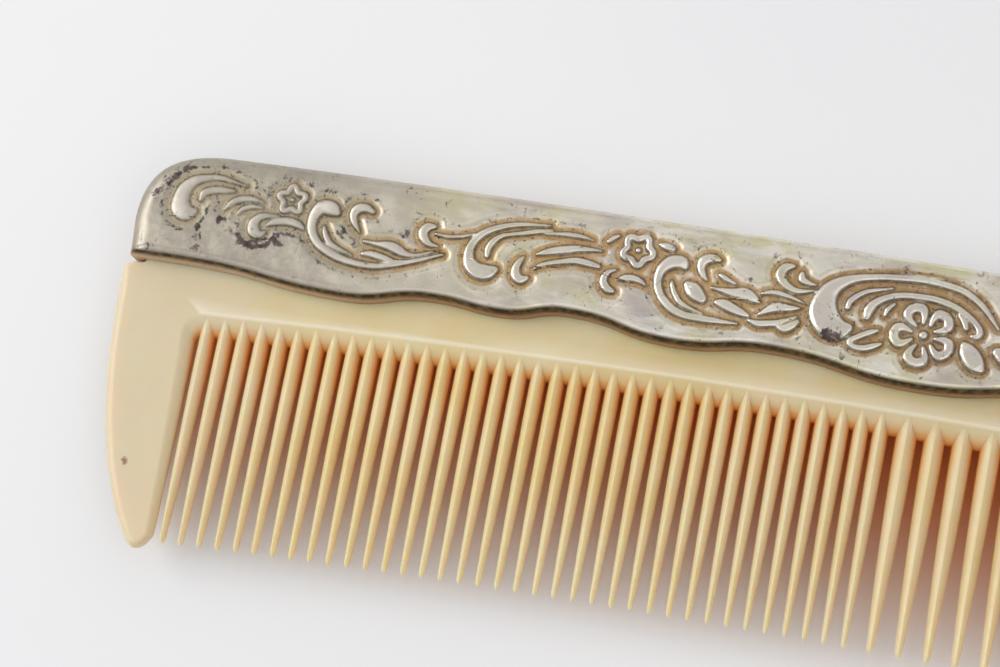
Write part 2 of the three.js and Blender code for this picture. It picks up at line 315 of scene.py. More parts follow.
STAR = (-32.2, 18.85)
WORN_STAR = (-71.8, 18.2)
ROSETTE = (0, 14.6)
PETAL = [(1.25, .42, .2), (2.05, .82, .42), (2.75, .86, .58), (3.15, .25, .6)]
star_flowers = [ring_of_lobes(STAR, 5, 62, 1.25, 1.75, .4), boss(STAR, .3)]
star_flowers += [ring_of_lobes(WORN_STAR, 5, 95, 1.0, 1.6, .34), boss(WORN_STAR, .26)]
rosette = petals(ROSETTE, 5, 45, PETAL) + [boss(ROSETTE, .5)]
side_strokes = END_SCROLL + SPRIG + SECOND_SCROLL + THIRD_SCROLL + FOURTH_SCROLL + star_flowers
mirrored_strokes = [[(-x, y, w) for x, y, w in s] for s in side_strokes]
all_strokes = side_strokes + mirrored_strokes + MIDDLE_CLUSTER + rosette
print(len(all_strokes), "strokes of the stamping tool")

# %% [markdown]
# ## From strokes to relief
# The strokes could be modelled one by one and joined, but a stamped sheet is one skin, so they are
# pressed into a height map first: a fine grid of heights kept in memory. Inside a stroke the sheet
# is a dome, at its edge it falls into a groove, and about a millimetre out it is the field again.

# %% Relief map
CELL = 0.08                              # size of one height sample
MAP_LOW = np.array([-92.0, 6.0])
MAP_SIZE = (int(184 / CELL), int(19 / CELL))
GROOVE_DEPTH = 0.21
GROOVE_REACH = 1.15
GROOVE_FLOOR = 0.12                      # the groove is deepest and dirtiest this far from a stroke
HIGHEST_CREST = 0.42
WIDEN = 0.06                             # the metal spreads a little past the tool
PRESS_REACH = 1.3                        # clearance is worked out this far round a stroke
FAR_AWAY = 9.0
tightness = np.full(MAP_SIZE, FAR_AWAY)  # distance to a stroke's middle line over its half width
clearance = np.full(MAP_SIZE, FAR_AWAY)  # distance to the nearest stroke's edge
stroke_width = np.zeros(MAP_SIZE)        # half width of the nearest stroke


def press(stroke):
    line = smooth_line(stroke)
    line = respaced(line, max(4, int(lengths_along(line)[-1] / 0.1)))
    for x, y, w in line:
        w = max(w, 0.06) + WIDEN
        reach = w + PRESS_REACH
        low = np.maximum(((np.array([x, y]) - reach - MAP_LOW) / CELL).astype(int), 0)
        high = np.minimum(((np.array([x, y]) + reach - MAP_LOW) / CELL).astype(int) + 2, MAP_SIZE)
        window = (slice(low[0], high[0]), slice(low[1], high[1]))
        gx = MAP_LOW[0] + CELL * np.arange(low[0], high[0])[:, None] - x
        gy = MAP_LOW[1] + CELL * np.arange(low[1], high[1])[None, :] - y
        away = np.hypot(gx, gy)
        t = away / w
        closer = t < tightness[window]
        stroke_width[window] = np.where(closer, w, stroke_width[window])
        tightness[window] = np.where(closer, t, tightness[window])
        clearance[window] = np.minimum(away - w, clearance[window])


for stroke in all_strokes:
    press(stroke)
print("map of", MAP_SIZE[0], "x", MAP_SIZE[1], "samples")


# %% Heights and masks
def smoothstep(low, high, v):
    t = np.clip((v - low) / (high - low), 0, 1)
    return t * t * (3 - 2 * t)


def band(values, middle, width):
    """1 at the middle value, falling off like a bell over the width."""
    return np.exp(-((values - middle) / width) ** 2)


crest = np.minimum(0.04 + 0.36 * stroke_width, HIGHEST_CREST)
dome = np.clip(1 - tightness ** 3.2, 0, 1) ** 0.58
inside_height = -GROOVE_DEPTH + (GROOVE_DEPTH + crest) * dome
outside_height = -GROOVE_DEPTH * (1 - smoothstep(0.20, GROOVE_REACH, clearance))
relief = np.where(tightness < 1, inside_height, outside_height)
recess = np.where(clearance > 0.1, band(clearance, GROOVE_FLOOR, 0.50), band(clearance, 0.1, 0.16))
outline_mask = band(clearance, -0.02, 0.09)
shoulder = band(clearance, 0.95, 0.28)


def blurred(values, times):
    for _ in range(times):
        values = (np.roll(values, 1, 0) + np.roll(values, -1, 0) + 2 * values) / 4
        values = (np.roll(values, 1, 1) + np.roll(values, -1, 1) + 2 * values) / 4
    return values


relief = blurred(relief, 1)
recess = blurred(recess, 1)
outline_mask = blurred(outline_mask, 1)
END_WEAR = 0.45                          # share of the relief that handling has worn off at the ends
column_x = MAP_LOW[0] + CELL * np.arange(MAP_SIZE[0])
wear = 1 - END_WEAR * smoothstep(62.0, 80.0, np.abs(column_x))
relief = relief * wear[:, None]
print("relief from", round(relief.min(), 2), "to", round(relief.max(), 2), "mm")


# %% Reading the map
def sampled(height_map, x, y):
    """The map's value at places between its samples."""
    u = np.clip((x - MAP_LOW[0]) / CELL, 0, MAP_SIZE[0] - 1.01)
    v = np.clip((y - MAP_LOW[1]) / CELL, 0, MAP_SIZE[1] - 1.01)
    i, j = u.astype(int), v.astype(int)
    fu, fv = u - i, v - j
    near = height_map[i, j] * (1 - fu) + height_map[i + 1, j] * fu
    far = height_map[i, j + 1] * (1 - fu) + height_map[i + 1, j + 1] * fu
    return near * (1 - fv) + far * fv


print("relief at the rosette's middle", round(float(sampled(relief, *np.array(ROSETTE, float))), 2), "mm")

# %% [markdown]
# ## The silver shells
# A shell starts as a grid for the stamped field. The grid's edge is then pulled out ring by ring:
# over the rounded spine and ends down to the solder seam, and over the sharper foot edge down to
# the blade. A last set of rings goes back inside, so that the sheet has a real thickness.

# %% Shell sizes
FIELD_Z = TOP_Z - 0.35 - MID_Z           # height of the plain field over the middle plane
ROLL_WIDTH = 2.2                         # how far in from the rim the rounding starts
ROLL_FOOT_Z = 2.9                        # the rounding ends here and a plain wall goes on down
SEAM_Z = 0.25
WALL_LEAN = 0.72                         # the foot's top edge stands this far back from its base
WALL_ROLL_Z = 2.6
MOUTH_Z = BLADE_HALF + 0.06
MOUTH_END_X = 88.0
SKIN = 0.6
CEILING_Z = TOP_Z - MID_Z - 0.82
COLUMNS, ROWS = 1400, 92
RIM_POINTS = 3000
FOOT_POINTS = 1600
SPINE_FALL = 0.0001551                   # times x squared: how much lower the spine is at x
CORNER_FACING = 0.72                     # from here on the rim counts as the top of the patch


def lean_at(z):
    """How far the foot wall stands back at height z: a quarter ellipse over a straight wall."""
    t = np.clip((z - WALL_ROLL_Z) / (FIELD_Z - WALL_ROLL_Z), 0, 1)
    return WALL_LEAN * (1 - np.sqrt(1 - t ** 2.2))


def sheet_waves(x, y):
    """The slight unevenness of a hand-finished sheet."""
    return (0.040 * np.sin(0.31 * x + 0.8 * y) + 0.032 * np.sin(0.83 * x - 0.4 * y + 1.3)
            + 0.016 * np.sin(1.9 * x + 1.1 * y + 0.4) + 0.010 * np.sin(2.7 * y - 0.8 * x))


def field_height(x, y):
    """The stamped face over the middle plane, with a fine bead along the foot's edge."""
    near_foot = smoothstep(0.0, 1.2, y - foot_y(x) - WALL_LEAN)
    near_rim = 1 - smoothstep(-0.9, 0.1, y - (SPINE_Y - ROLL_WIDTH) + SPINE_FALL * x ** 2)
    waves = sheet_waves(x, y) * near_foot * near_rim
    from_edge = y - foot_y(x) - WALL_LEAN
    bead = 0.07 * band(from_edge, 0.22, 0.20)
    height = FIELD_Z + waves + bead + sampled(relief, x, y) * smoothstep(0.0, 0.35, from_edge)
    return np.minimum(height, TOP_Z - MID_Z)


print("field at", round(FIELD_Z, 2), "mm and crests up to", round(TOP_Z - MID_Z, 2), "mm")

# %% [markdown]
# ## Where the rounding starts
# The rim's rounding begins on a line just inside the outline, at an even distance from it. The line
# is the outline moved inwards along its normals and cut off where it meets the foot.

# %% Inner line of the rim
rim_even = respaced(rim, RIM_POINTS)
rim_normal = -outward_normals(rim_even)
faces_in = (rim_normal * (rim_even - [0, 12])).sum(1) < 0
rim_normal = np.where(faces_in[:, None], -rim_normal, rim_normal)
inner_rim = rim_even - rim_normal * ROLL_WIDTH
above_foot = inner_rim[:, 1] > foot_y(inner_rim[:, 0]) + lean_at(FIELD_Z)
first = int(np.argmax(above_foot))
last = len(inner_rim) - 1 - int(np.argmax(above_foot[::-1]))
inner_rim = inner_rim[first:last + 1]
chain_normal = rim_normal[first:last + 1]
corner = int(np.argmax(chain_normal[:, 1] > CORNER_FACING))
far_corner = len(inner_rim) - 1 - corner
print("field patch corners at", inner_rim[corner].round(1), inner_rim[far_corner].round(1))


# %% [markdown]
# ## The field
# The field is one grid stretched between the wavy foot and the inner line of the rounded rim. A
# Coons patch does that: it blends the four border curves, so that the rows follow the foot below and
# the spine above. Each vertex is then lifted to its height on the relief map.

# %% Grid for the stamped field
def mesh_from(bm, name):
    """Writes a bmesh that is done into a new mesh."""
    mesh = bpy.data.meshes.new(name)
    bm.to_mesh(mesh)
    bm.free()
    return mesh


def grid_mesh(name, columns, rows):
    """A flat grid with its vertices at (s, t), both from 0 to 1."""
    bm = bmesh.new()
    bmesh.ops.create_grid(bm, x_segments=columns, y_segments=rows, size=0.5)
    bmesh.ops.translate(bm, verts=bm.verts, vec=(0.5, 0.5, 0))
    return mesh_from(bm, name)


def coordinates(mesh):
    co = np.empty(len(mesh.vertices) * 3, np.float32)
    mesh.vertices.foreach_get("co", co)
    return co.reshape(-1, 3).astype(float)


def along(points, t):
    where = lengths_along(points)
    where = where / where[-1]
    return np.stack([np.interp(t, where, points[:, k]) for k in range(2)], 1)


def coons_patch(s, t, bottom, top, left, right):
    """Fills the space between four curves that meet at the corners."""
    s, t = s[:, None], t[:, None]
    low, high = along(bottom, s[:, 0]), along(top, s[:, 0])
    west, east = along(left, t[:, 0]), along(right, t[:, 0])
    corners = ((1 - s) * (1 - t) * bottom[0] + s * (1 - t) * bottom[-1]
               + (1 - s) * t * top[0] + s * t * top[-1])
    return (1 - t) * low + t * high + (1 - s) * west + s * east - corners


foot_x = np.linspace(inner_rim[0, 0], inner_rim[-1, 0], FOOT_POINTS)
foot_edge = np.stack([foot_x, foot_y(foot_x) + lean_at(FIELD_Z)], 1)
foot_edge[0], foot_edge[-1] = inner_rim[0], inner_rim[-1]
shell_mesh = grid_mesh("front_shell_stamped", COLUMNS, ROWS)
st = coordinates(shell_mesh)
place = coons_patch(st[:, 0], st[:, 1], foot_edge, inner_rim[corner:far_corner + 1],
                    inner_rim[:corner + 1], inner_rim[far_corner:][::-1])
height = field_height(place[:, 0], place[:, 1])
shell_mesh.vertices.foreach_set("co", np.column_stack([place, height]).astype(np.float32).ravel())
print("field grid", len(shell_mesh.vertices), "vertices")

# %% [markdown]
# The rings need to know, for every edge vertex, where the rim is and which way is out. Those values
# are kept on the vertices themselves, in layers that extruding copies to the new vertices.


# %% Rings round the edge
def open_edges(bm):
    return sum(not e.is_manifold for e in bm.edges)


def ends_of(edges):
    """The vertices of the edges, each once and always in the same order."""
    return list(dict.fromkeys(v for e in edges for v in e.verts))


def extruded_ring(bm, edges):
    """The new vertices and edges of one more ring past the given edges."""
    made = bmesh.ops.extrude_edge_only(bm, edges=edges)["geom"]
    new_verts = [e for e in made if isinstance(e, bmesh.types.BMVert)]
    new_set = set(new_verts)
    new_edges = [e for e in made if isinstance(e, bmesh.types.BMEdge) and set(e.verts) <= new_set]
    return new_verts, new_edges


bm = bmesh.new()
bm.from_mesh(shell_mesh)
bm.verts.ensure_lookup_table()
layer_names = ("rim_x", "rim_y", "out_x", "out_y", "is_foot", "is_rim")
layers = {n: bm.verts.layers.float.new(n) for n in layer_names}
NEAR = 1e-5
for v, (s, t, _) in zip(bm.verts, st):
    v[layers["is_foot"]] = float(t < NEAR)
    v[layers["is_rim"]] = float(s < NEAR or s > 1 - NEAR or t > 1 - NEAR)
rim_verts = [v for v in bm.verts if v[layers["is_rim"]] > 0.5]
rim_at = np.array([v.co[:2] for v in rim_verts])
for v, p in zip(rim_verts, rim_at):
    k = int(np.argmin(((inner_rim - p) ** 2).sum(1)))
    v[layers["rim_x"]], v[layers["rim_y"]] = p
    v[layers["out_x"]], v[layers["out_y"]] = chain_normal[k]


def border_of(name):
    """The open edges whose two vertices both carry the named mark."""
    return [e for e in bm.edges if e.is_boundary and all(v[layers[name]] > 0.5 for v in e.verts)]


foot_corner_edges = set(border_of("is_foot"))
rim_edges = [e for e in border_of("is_rim") if e not in foot_corner_edges]

ROLL_STEPS = 9
roll_angles = np.radians(np.linspace(90, 0, ROLL_STEPS + 1)[1:])
ring_profile = [(ROLL_WIDTH * math.cos(a), ROLL_FOOT_Z + (FIELD_Z - ROLL_FOOT_Z) * math.sin(a))
                for a in roll_angles]
ring_profile += [(ROLL_WIDTH, 1.6), (ROLL_WIDTH, SEAM_Z)]
ring = rim_edges
for out, z in ring_profile:
    verts, ring = extruded_ring(bm, ring)
    for v in verts:
        x = v[layers["rim_x"]] + out * v[layers["out_x"]]
        y = v[layers["rim_y"]] + out * v[layers["out_y"]]
        if v[layers["is_foot"]] > 0.5:
            y = float(foot_y(x)) + float(lean_at(z))
        v.co = (x, y, z)
print("rim ring of", len(ring), "edges")

# %% [markdown]
# ## The wavy foot
# Along the foot the sheet turns down sharply and stands on the blade. The wall is extruded in eight
# small falls that get longer, so that the turn at the top stays round and the wall below it plain.

# %% Foot wall
foot_edges = border_of("is_foot")
for v in ends_of(foot_edges):
    v[layers["rim_x"]], v[layers["rim_y"]] = v.co.x, v.co.z


def foot_bottom(x):
    """The foot rests on the blade, and beyond the blade's tang it closes down to the seam."""
    return MOUTH_Z + (SEAM_Z - MOUTH_Z) * float(smoothstep(0.0, 0.3, abs(x) - MOUTH_END_X))


WALL_FALL = (0.03, 0.10, 0.20, 0.32, 0.46, 0.62, 0.80, 1.0)
ring = foot_edges
for fall in WALL_FALL:
    verts, ring = extruded_ring(bm, ring)
    for v in verts:
        x, top = v[layers["rim_x"]], v[layers["rim_y"]]
        bottom = min(foot_bottom(x), top)
        z = top + (bottom - top) * fall
        v.co = (x, float(foot_y(x)) + float(lean_at(z)), z)
print("foot wall of", len(ring), "edges")

# %% [markdown]
# ## The inside of the sheet
# Solidify would give the wall an even thickness, but it would also copy every scroll to the inside,
# where the cement hides it. A plain lining is lighter: four rings step in and up to a flat ceiling.

# %% Inside of the shell
inner_profile = [(SKIN, None), (SKIN + 0.1, 2.2), (SKIN + 0.7, CEILING_Z - 0.5), (ROLL_WIDTH, CEILING_Z)]
loop = [e for e in bm.edges if e.is_boundary]
bmesh.ops.remove_doubles(bm, verts=ends_of(loop), dist=1e-4)
loop = [e for e in bm.edges if e.is_boundary]
for v in ends_of(loop):
    v[layers["rim_x"]], v[layers["rim_y"]] = v.co.x, v.co.y
    if v[layers["is_foot"]] > 0.5:
        v[layers["out_x"]], v[layers["out_y"]] = 0, -1
        if abs(v.co.x) > MOUNT_END_X - 1.2:
            v[layers["out_x"]] = math.copysign(0.7, v.co.x)
ring = loop
for step, z in inner_profile:
    verts, ring = extruded_ring(bm, ring)
    for v in verts:
        x = v[layers["rim_x"]] - step * v[layers["out_x"]]
        y = v[layers["rim_y"]] - step * v[layers["out_y"]]
        v.co = (x, y, v.co.z if z is None else max(z, v.co.z))
ceiling = bmesh.ops.edgeloop_fill(bm, edges=ring)["faces"]
bmesh.ops.triangulate(bm, faces=ceiling)
bmesh.ops.recalc_face_normals(bm, faces=bm.faces)
print("shell has", len(bm.faces), "faces and", open_edges(bm), "open edges")
for n in layer_names:
    bm.verts.layers.float.remove(bm.verts.layers.float[n])
bm.to_mesh(shell_mesh)
bm.free()

# %% [markdown]
# The grid is finer than it needs to be on the plain field, so it is thinned there: the Decimate
# modifier keeps the triangles where the sheet bends. The back shell is the same stamping turned
# over, so the finished mesh is mirrored through the middle plane.

# %% Thin the mesh, place it, and mirror it for the back
SHELL_TRIANGLES = 188_000


def applied(mesh, name, **settings):
    """The mesh after one modifier of the given kind and settings."""
    holder = bpy.data.objects.new(name, mesh)
    bpy.context.scene.collection.objects.link(holder)
    modifier = holder.modifiers.new("step", settings.pop("kind"))
    for key, value in settings.items():
        setattr(modifier, key, value)
    depsgraph = bpy.context.evaluated_depsgraph_get()
    result = bpy.data.meshes.new_from_object(holder.evaluated_get(depsgraph))
    bpy.data.objects.remove(holder)
    return result


def triangle_count(mesh):
    mesh.calc_loop_triangles()
    return len(mesh.loop_triangles)


def paint(mesh, name, values):
    """Stores one number per vertex under a name that a material can read."""
    layer = mesh.attributes.get(name) or mesh.attributes.new(name, "FLOAT", "POINT")
    layer.data.foreach_set("value", np.asarray(values, np.float32))


def place_in_frame(bm):
    """From millimetres round the middle plane to metres in the frame, with smooth shading."""
    bmesh.ops.translate(bm, verts=bm.verts, vec=(0, 0, MID_Z))
    bmesh.ops.scale(bm, vec=(MM, MM, MM), verts=bm.verts)
    for face in bm.faces:
        face.smooth = True


def piece_object(bm, name, stands_for):
    """A finished piece that rides on the comb's body and stands for a node of the design."""
    piece = bpy.data.objects.new(name, mesh_from(bm, name))
    bpy.context.scene.collection.objects.link(piece)
    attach(piece, "root")
    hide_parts(stands_for)
    return piece


share = min(1.0, SHELL_TRIANGLES / triangle_count(shell_mesh))
thin_mesh = applied(shell_mesh, "thinning", kind="DECIMATE", ratio=share)
print("shell thinned to", triangle_count(thin_mesh), "triangles")


# %% [markdown]
# ## Where age shows, with painted shade and reflection
# Dirt sits in the grooves, tarnish under a painted reflection along the foot wall, and crusts where
# the comb was held. A dark line round the foot of each motif and darker groove shoulders are painted
# shade. Each is a number on the vertices, worked out from the relief or from a few listed drips,
# and the silver material turns the numbers into colour.

# %% Age marks, painted shade and painted reflection on the shells
STAINS = [                               # how dark, and the places of the drip with their half widths
    (1.9, [(-10.5, 13.7, .45), (-9.9, 13.2, .85), (-9.2, 12.95, .6)]),
    (1.0, [(-81.9, 13.6, .3), (-81.7, 12.6, .45), (-81.9, 11.6, .6), (-81.8, 11.0, .7)]),
    (1.0, [(-79.6, 14.7, .3), (-79.0, 14.2, .5), (-78.2, 13.6, .45)]),
    (1.0, [(-77.6, 12.9, .5), (-76.0, 12.3, .5), (-74.4, 12.7, .5), (-73.0, 13.3, .6), (-71.9, 12.7, .3)]),
    (1.0, [(-87.6, 16.2, .35), (-86.9, 17.6, .5), (-85.8, 19.0, .5), (-84.2, 20.1, .4)]),
    (1.0, [(-88.6, 11.2, .7), (-88.2, 10.4, .6), (-87.0, 10.2, .4)]),
]


def stained(x, y):
    """Soft-edged drips and crusts."""
    most = np.zeros_like(x)
    for strength, drip in STAINS:
        for sx, sy, w in smooth_line(drip, 8):
            spot = 1 - smoothstep(0.5 * w, 1.6 * w, np.hypot(x - sx, y - sy))
            most = np.maximum(most, strength * spot)
    return most


def paint_shell(mesh):
    """Marks the grooves, their outlines and shoulders, the crests, the stains and the foot wall."""
    co = coordinates(mesh)
    x, y, z = co.T
    on_field = smoothstep(FIELD_Z - 0.7, FIELD_Z - 0.35, z)
    paint(mesh, "recess", sampled(recess, x, y) * on_field)
    # The outline mark places a painted shade line round the foot of each motif. The shoulder mark places
    # painted shade on the groove shoulders, and also crust.
    paint(mesh, "outline", sampled(outline_mask, x, y) * on_field)
    paint(mesh, "shoulder", sampled(shoulder, x, y) * on_field)
    paint(mesh, "stain", stained(x, y) * on_field)
    paint(mesh, "raised", np.clip((sampled(relief, x, y) - 0.02) / 0.35, 0, 1) * on_field)
    at_wall = 1 - smoothstep(WALL_LEAN - 0.02, WALL_LEAN + 0.06, y - foot_y(x))
    paint(mesh, "wall", at_wall * (1 - smoothstep(FIELD_Z - 0.25, FIELD_Z - 0.10, z)))
    # The dark band under the foot's edge is a painted reflection of the dark horizon over tarnish. It
    # reaches further down the wall towards the middle.
    dark_reach = 0.95 + 0.40 * smoothstep(-78.0, -35.0, -np.abs(x))
    dark_end = FIELD_Z - dark_reach
    paint(mesh, "wall_top", at_wall * smoothstep(dark_end - 0.5, dark_end + 0.5, z))


paint_shell(thin_mesh)


def finished_shell(mesh, name, node, turned_over):
    """The shell in its place in the frame; turned over, it is the back one."""
    bm = bmesh.new()
    bm.from_mesh(mesh)
    if turned_over:
        bmesh.ops.scale(bm, vec=(1, 1, -1), verts=bm.verts)
        bmesh.ops.reverse_faces(bm, faces=bm.faces)
    place_in_frame(bm)
    return piece_object(bm, name, node)


front = finished_shell(thin_mesh, "front_shell_stamped", "front_shell", turned_over=False)
back = finished_shell(thin_mesh, "back_shell_stamped", "back_shell", turned_over=True)
print("two shells,", [round(v, 1) for v in front.dimensions / MM], "mm each")

# %% [markdown]
# ## The blade
# The blade is one moulding: a flat spine, two end guards and 64 teeth between them. Its outline is
# filled once and extruded up in steps that draw in from the edge, so that the guards get round
# edges and the root band slopes down to the gaps. The top half is then mirrored to the underside.

# %% Blade sizes
SHOULDER_Y = 9.15
TANG_TOP_Y = SPINE_Y - 1.3
TANG_END_X = SHOULDER_X - 2.7
TOOTH_ROW_X = 80
ROOT_Y, ROOT_SAG = 4.0, 2.2
TIP_Y, TIP_SAG = -19.75, 2.35
TIP_THINNING = 0.45


def root_line(x):
    return ROOT_Y - ROOT_SAG * (x / TOOTH_ROW_X) ** 2


def tip_line(x):
    return TIP_Y - TIP_SAG * (x / TOOTH_ROW_X) ** 2


def thickness_share(y):
    """The blade is full in the spine and thins evenly towards the tips."""
    return 1 - TIP_THINNING * np.clip((ROOT_Y - y) / (ROOT_Y - GUARD_TIP_Y), 0, 1)


print("gaps start at", ROOT_Y, "mm in the middle and", round(root_line(TOOTH_ROW_X), 1), "mm at the ends")

# %% Blade outline
end_root = root_line(TOOTH_ROW_X)
tang_side = (-TANG_END_X, TANG_TOP_Y - 8)
tang_foot = (-TANG_END_X, SHOULDER_Y + 0.3)
shoulder_in = (-TANG_END_X - 0.3, SHOULDER_Y)
shoulder_out = (-SHOULDER_X, SHOULDER_Y - 1.4)
guard_low = (-83.5, GUARD_TIP_Y + 1.0)
guard_end_y = GUARD_TIP_Y - 0.4
guard_inner = (-80.3, GUARD_TIP_Y + 1.8)
guard_root = (-80.5, end_root - 0.9)
row_start = (-79.6, end_root)
root_band = np.array([(x, root_line(x)) for x in np.linspace(-79.6, 0, 160)])
# Each stretch has its points, how far its edge draws in at its start and end, and how straight
# its slope is.
blade_stretches = [
    (quadratic((0, TANG_TOP_Y), (-40, TANG_TOP_Y), (-80, TANG_TOP_Y - 1), 20), (0.5, 0.5), 0),
    (quadratic((-80, TANG_TOP_Y - 1), (-TANG_END_X, TANG_TOP_Y - 1.5), tang_side, 10), (0.5, 0.3), 0),
    (quadratic(tang_side, (-TANG_END_X, 11), tang_foot, 6), (0.3, 0.3), 0),
    (quadratic(tang_foot, (-TANG_END_X, SHOULDER_Y), shoulder_in, 4), (0.3, 0.3), 0),
    (quadratic(shoulder_in, (-SHOULDER_X, SHOULDER_Y), shoulder_out, 12), (0.5, 0.9), 0),
    (bezier(shoulder_out, (-90.4, -4), (-88.6, -14.4), guard_low, 60), (1.3, 1.0), 0),
    (bezier(guard_low, (-82.6, guard_end_y), (-81.3, guard_end_y), guard_inner, 16), (1.0, 0.8), 0.2),
    (quadratic(guard_inner, (-80.3, -8), guard_root, 50), (0.8, 1.4), 0.75),
    (quadratic(guard_root, (-80.5, end_root), row_start, 10), (1.4, 2.5), 1),
    (root_band, (2.5, 2.5), 1),
]
half_outline = join(*[points for points, _, _ in blade_stretches])
counts = [len(p) - (k > 0) for k, (p, _, _) in enumerate(blade_stretches)]
draw_in = np.concatenate([np.linspace(*d, count) for (_, d, _), count in zip(blade_stretches, counts)])
straight = np.repeat([s for _, _, s in blade_stretches], counts).astype(float)


def eased(values, times):
    """Evens out jumps along the outline, and keeps both ends."""
    for _ in range(times):
        middle = (values[:-2] + 2 * values[1:-1] + values[2:]) / 4
        values = np.concatenate([values[:1], middle, values[-1:]])
    return values


outline = np.vstack([half_outline, half_outline[-2:0:-1] * [-1, 1]])
EASING = 12
LEAST_STRAIGHT = 0.01                    # less than this would give a first step of no height
draw_in = eased(draw_in, EASING)
draw_in = np.concatenate([draw_in, draw_in[-2:0:-1]])
straight = eased(straight, EASING)
straight[straight < LEAST_STRAIGHT] = 0
straight = np.concatenate([straight, straight[-2:0:-1]])
closed = np.vstack([outline[-1:], outline, outline[:1]])
run = closed[2:] - closed[:-2]
inward = np.stack([-run[:, 1], run[:, 0]], 1)
inward /= np.linalg.norm(inward, axis=1)[:, None]
if (inward[0] * [0, 1]).sum() > 0:
    inward = -inward
print("blade outline of", len(outline), "points")

# %% [markdown]
# ## The blank
# The outline becomes one face on the middle plane. Each extrusion draws in by the share of its step,
# along a quarter circle where the edge is round and along a slope where the root band is. Cuts
# across the blank give the flat face some edges, so that the thinning towards the tips bends it.

# %% Blade blank
EDGE_STEPS = 7
FLAT_RIM = 0.10                          # a flat strip inside the edge keeps the face's shading calm
CUTS = (4, 2, 0, -2, -4)                 # places of the cuts, from the root line in the middle
round_edge = [(1 - math.cos(a), math.sin(a)) for a in np.linspace(0, math.pi / 2, EDGE_STEPS + 1)]
slope_edge = [(0, .14), (.05, .34), (.17, .54), (.36, .72), (.60, .86), (.83, .955), (.96, .995), (1.04, 1)]

bm = bmesh.new()
ring = [bm.verts.new((x, y, 0)) for x, y in outline]
cap = bm.faces.new(ring)
steps = [(*a, *b, 0.0) for a, b in zip(round_edge, slope_edge)]
steps.append((*round_edge[-1], *slope_edge[-1], FLAT_RIM))
for round_in, round_up, slope_in, slope_up, flat in steps:
    made = bmesh.ops.extrude_face_region(bm, geom=[cap])["geom"]
    old_cap = cap
    cap = next(e for e in made if isinstance(e, bmesh.types.BMFace))
    step_in = (round_in * (1 - straight) + slope_in * straight) * draw_in + flat
    step_up = (round_up * (1 - straight) + slope_up * straight) * BLADE_HALF
    for k, v in enumerate(cap.verts):
        x, y = outline[k] + inward[k] * step_in[k]
        v.co = (x, y, step_up[k])
    if old_cap.is_valid:
        bmesh.ops.delete(bm, geom=[old_cap], context="FACES_ONLY")
bmesh.ops.remove_doubles(bm, verts=bm.verts, dist=1e-5)
middle_cut = [e for e in bm.edges if e.is_boundary]
print("blank half with", len(bm.faces), "faces,", len(middle_cut), "edges open at the middle plane")
bmesh.ops.triangulate(bm, faces=[cap])
bmesh.ops.mirror(bm, geom=bm.verts[:] + bm.edges[:] + bm.faces[:], merge_dist=1e-4, axis="Z")
bmesh.ops.recalc_face_normals(bm, faces=bm.faces)
for cut in CUTS:
    everything = bm.verts[:] + bm.edges[:] + bm.faces[:]
    bmesh.ops.bisect_plane(bm, geom=everything, dist=1e-5, plane_co=(0, ROOT_Y + cut, 0), plane_no=(0, 1, 0))
for v in bm.verts:
    v.co.z *= float(thickness_share(v.co.y))
print("blank has", open_edges(bm), "open edges")
blank_mesh = mesh_from(bm, "blade_blank")

# %% [markdown]
# ## The teeth
# A tooth is a slim spindle with a ridge along its front and back, a round tip and a root that runs
# up into the slope of the root band, which gives it the pointed start that a cut comb has. One
# circle is drawn at the root and extruded down to the tip. Fine teeth fill one half of the row and
# coarse teeth the other, and a Boolean joins them all to the blank.

# %% Teeth
FINE_PITCH, FINE_TEETH, FINE_START = 2.12, 37, 0.35
COARSE_PITCH, COARSE_TEETH = 3.04, 27
FINE_SHAPE = {"width": 1.76, "tip": 0.58}
COARSE_SHAPE = {"width": 2.32, "tip": 0.78}
TOOTH_SIDES = 16
TOOTH_RIDGE = 1.8                        # exponent of the section: 2 is an ellipse, 1 a diamond
TOOTH_INSET = 0.08                       # the ridge of a tooth lies this far under the blade's face
TOOTH_LENGTH = 24.5
ROOT_RUN = 2.9                           # how far a tooth reaches up into the spine
stations = np.concatenate([np.linspace(0, 0.90, 11), [0.95, 0.975, 0.988, 0.995, 0.999]])


def tooth_body(share, width, tip):
    """Width from root (0) to tip (1), a taper that grows faster, before the end is rounded."""
    return tip + (width - tip) * (1 - share ** 1.7)


def tooth_half_width(share, width, tip):
    from_end = (1 - share) * TOOTH_LENGTH
    end = np.sqrt(np.clip(1 - (1 - np.clip(from_end / (tip * 1.1), 0, 1)) ** 2, 0, 1))
    return 0.5 * tooth_body(share, width, tip) * end


def add_tooth(bm, x, shape):
    root, tip = root_line(x), tip_line(x)
    made = bmesh.ops.create_circle(bm, segments=TOOTH_SIDES, radius=1, cap_ends=True)
    angles = [math.atan2(v.co.y, v.co.x) for v in made["verts"]]
    face = made["verts"][0].link_faces[0]
    levels = [(root + ROOT_RUN, 0.0)] + [(root + (tip - root) * s, s) for s in stations]
    for k, (y, s) in enumerate(levels):
        if k > 0:
            grown = bmesh.ops.extrude_face_region(bm, geom=[face])["geom"]
            if k > 1:
                bmesh.ops.delete(bm, geom=[face], context="FACES_ONLY")
            face = next(e for e in grown if isinstance(e, bmesh.types.BMFace))
        half_width = float(tooth_half_width(s, **shape))
        end_round = min(1, half_width / (0.5 * tooth_body(s, **shape)))
        ridge = (BLADE_HALF - TOOTH_INSET) * float(thickness_share(y))
        half_depth = ridge * (1 - 0.12 * s) * end_round
        for v, a in zip(face.verts, angles):
            c, d = math.cos(a), math.sin(a)
            reach = (abs(c) ** TOOTH_RIDGE + abs(d) ** TOOTH_RIDGE) ** (-1 / TOOTH_RIDGE)
            v.co = (x + half_width * c * reach, y, half_depth * d * reach)


